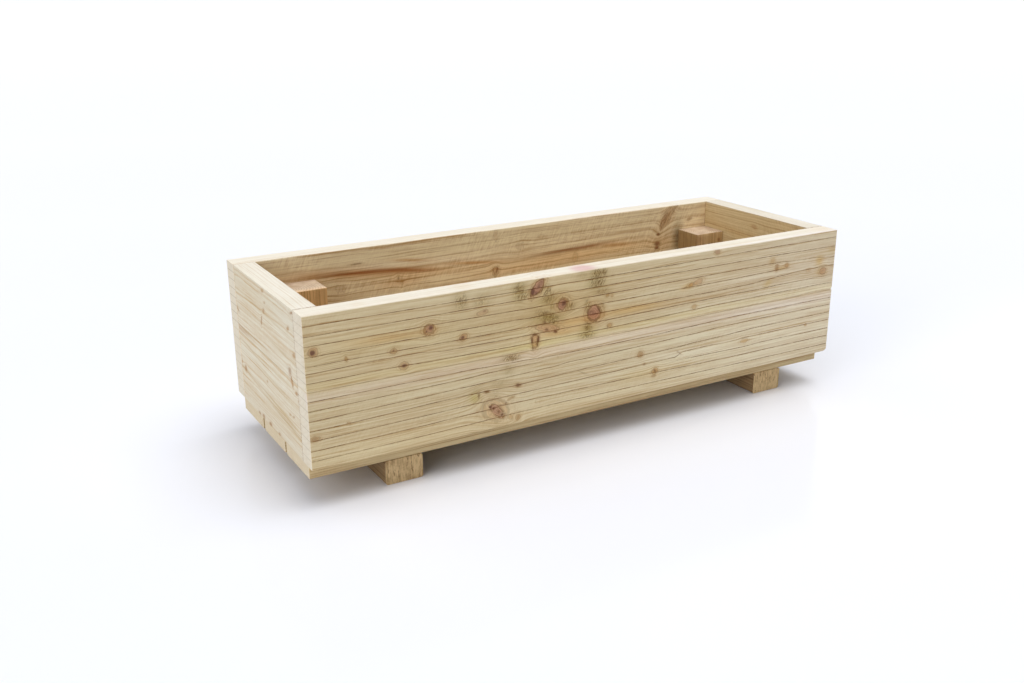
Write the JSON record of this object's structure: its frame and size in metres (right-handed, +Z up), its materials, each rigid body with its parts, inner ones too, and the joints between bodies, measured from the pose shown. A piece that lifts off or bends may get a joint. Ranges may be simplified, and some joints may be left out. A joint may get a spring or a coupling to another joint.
{
  "type": "garden planter",
  "caption": "Long open timber planter with grooved front and back boards, plain ends, inner corner posts and a slatted floor on bearers.",
  "frame": {"origin": "on the ground under the middle of the planter, level with the undersides of the bearers", "axes": "+X along the length to the right end, +Y to the back wall, +Z up"},
  "size_m": [1.2, 0.43, 0.351],
  "materials": {
    "grooved_timber": "planed softwood with a faint green tint, grooved outer face",
    "end_timber": "planed pale softwood",
    "post_timber": "planed softwood post with open end grain on top",
    "floor_timber": "planed softwood floor board",
    "bearer_timber": "sawn softwood bearer",
    "screw_steel": "zinc-plated steel"
  },
  "bodies": {
    "root": {"front_board_upper": "grooved_timber", "front_board_lower": "grooved_timber", "back_board_upper": "grooved_timber", "back_board_lower": "grooved_timber", "left_end_board_upper": "end_timber", "left_end_board_lower": "end_timber", "right_end_board_upper": "end_timber", "right_end_board_lower": "end_timber", "corner_post_front_left": "post_timber", "corner_post_front_right": "post_timber", "corner_post_back_left": "post_timber", "corner_post_back_right": "post_timber", "floor_board_front": "floor_timber", "floor_board_middle": "floor_timber", "floor_board_back": "floor_timber", "bearer_left": "bearer_timber", "bearer_right": "bearer_timber", "front_wall_screws": "screw_steel", "back_wall_screws": "screw_steel", "left_end_screws": "screw_steel", "right_end_screws": "screw_steel", "floor_end_screws": "screw_steel", "floor_side_screws": "screw_steel", "bearer_screws": "screw_steel"}
  },
  "joints": []
}
